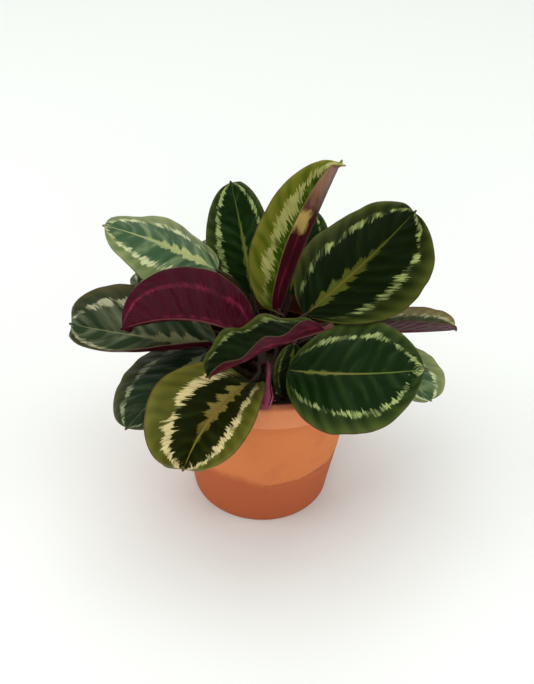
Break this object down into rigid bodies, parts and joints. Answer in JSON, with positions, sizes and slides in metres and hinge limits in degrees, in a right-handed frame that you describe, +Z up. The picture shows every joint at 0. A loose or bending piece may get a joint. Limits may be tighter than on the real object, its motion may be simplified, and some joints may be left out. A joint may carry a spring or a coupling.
{
  "type": "potted calathea plant",
  "caption": "Potted calathea with broad patterned leaves, wine-red beneath, growing from a low crown in an unglazed clay flower pot with a collar.",
  "frame": {"origin": "on the pot's axis, in the plane the pot rests on", "axes": "+Z up along the pot's axis, +X to the right of the front view, +Y away from the front"},
  "size_m": [0.2411, 0.2101, 0.2223],
  "materials": {
    "clay": "unglazed, matt, darker below a damp line",
    "earth": "loose, matt",
    "shoot": "matt, papery",
    "rolled_leaf": "soft, satin",
    "blade_front_left": "satin, patterned above, wine red beneath",
    "petiole_front_left": "satin",
    "blade_low_left": "satin, patterned above, wine red beneath",
    "petiole_low_left": "satin",
    "blade_far_left": "satin, patterned above, wine red beneath",
    "petiole_far_left": "satin",
    "blade_turned_left": "satin, patterned above, wine red beneath",
    "petiole_turned_left": "satin",
    "blade_back_left": "satin, patterned above, wine red beneath",
    "petiole_back_left": "satin",
    "blade_small_left": "satin, patterned above, wine red beneath",
    "petiole_small_left": "satin",
    "blade_upper_left": "satin, patterned above, wine red beneath",
    "petiole_upper_left": "satin",
    "blade_centre_tall": "satin, patterned above, wine red beneath",
    "petiole_centre_tall": "satin",
    "blade_behind_tall": "satin, patterned above, wine red beneath",
    "petiole_behind_tall": "satin",
    "blade_upper_right": "satin, patterned above, wine red beneath",
    "petiole_upper_right": "satin",
    "blade_front_right": "satin, patterned above, wine red beneath",
    "petiole_front_right": "satin",
    "blade_side_right": "satin, patterned above, wine red beneath",
    "petiole_side_right": "satin",
    "blade_low_right": "satin, patterned above, wine red beneath",
    "petiole_low_right": "satin",
    "blade_centre_front": "satin, patterned above, wine red beneath",
    "petiole_centre_front": "satin",
    "blade_small_front": "satin, patterned above, wine red beneath",
    "petiole_small_front": "satin",
    "blade_inner_right": "satin, patterned above, wine red beneath",
    "petiole_inner_right": "satin",
    "blade_rear_left": "satin, patterned above, wine red beneath",
    "petiole_rear_left": "satin",
    "blade_rear_mid": "satin, patterned above, wine red beneath",
    "petiole_rear_mid": "satin",
    "blade_rear_right": "satin, patterned above, wine red beneath",
    "petiole_rear_right": "satin",
    "blade_rear_side_right": "satin, patterned above, wine red beneath",
    "petiole_rear_side_right": "satin",
    "blade_rear_far_left": "satin, patterned above, wine red beneath",
    "petiole_rear_far_left": "satin",
    "blade_side_left_low": "satin, patterned above, wine red beneath",
    "petiole_side_left_low": "satin",
    "blade_inner_rear_left": "satin, patterned above, wine red beneath",
    "petiole_inner_rear_left": "satin"
  },
  "bodies": {
    "root": {"pot": "clay", "soil": "earth", "crown": "shoot", "blade_front_left": "blade_front_left", "blade_low_left": "blade_low_left", "blade_far_left": "blade_far_left", "blade_turned_left": "blade_turned_left", "blade_back_left": "blade_back_left", "blade_small_left": "blade_small_left", "blade_upper_left": "blade_upper_left", "blade_centre_tall": "blade_centre_tall", "blade_behind_tall": "blade_behind_tall", "blade_upper_right": "blade_upper_right", "blade_front_right": "blade_front_right", "blade_side_right": "blade_side_right", "blade_low_right": "blade_low_right", "blade_centre_front": "blade_centre_front", "blade_small_front": "blade_small_front", "blade_inner_right": "blade_inner_right", "blade_rear_left": "blade_rear_left", "blade_rear_mid": "blade_rear_mid", "blade_rear_right": "blade_rear_right", "blade_rear_side_right": "blade_rear_side_right", "blade_rear_far_left": "blade_rear_far_left", "blade_side_left_low": "blade_side_left_low", "blade_inner_rear_left": "blade_inner_rear_left", "petiole_front_left": "petiole_front_left", "petiole_low_left": "petiole_low_left", "petiole_far_left": "petiole_far_left", "petiole_turned_left": "petiole_turned_left", "petiole_back_left": "petiole_back_left", "petiole_small_left": "petiole_small_left", "petiole_upper_left": "petiole_upper_left", "petiole_centre_tall": "petiole_centre_tall", "petiole_behind_tall": "petiole_behind_tall", "petiole_upper_right": "petiole_upper_right", "petiole_front_right": "petiole_front_right", "petiole_side_right": "petiole_side_right", "petiole_low_right": "petiole_low_right", "petiole_centre_front": "petiole_centre_front", "petiole_small_front": "petiole_small_front", "petiole_inner_right": "petiole_inner_right", "petiole_rear_left": "petiole_rear_left", "petiole_rear_mid": "petiole_rear_mid", "petiole_rear_right": "petiole_rear_right", "petiole_rear_side_right": "petiole_rear_side_right", "petiole_rear_far_left": "petiole_rear_far_left", "petiole_side_left_low": "petiole_side_left_low", "petiole_inner_rear_left": "petiole_inner_rear_left", "young_rolled_leaf": "rolled_leaf"}
  },
  "joints": []
}
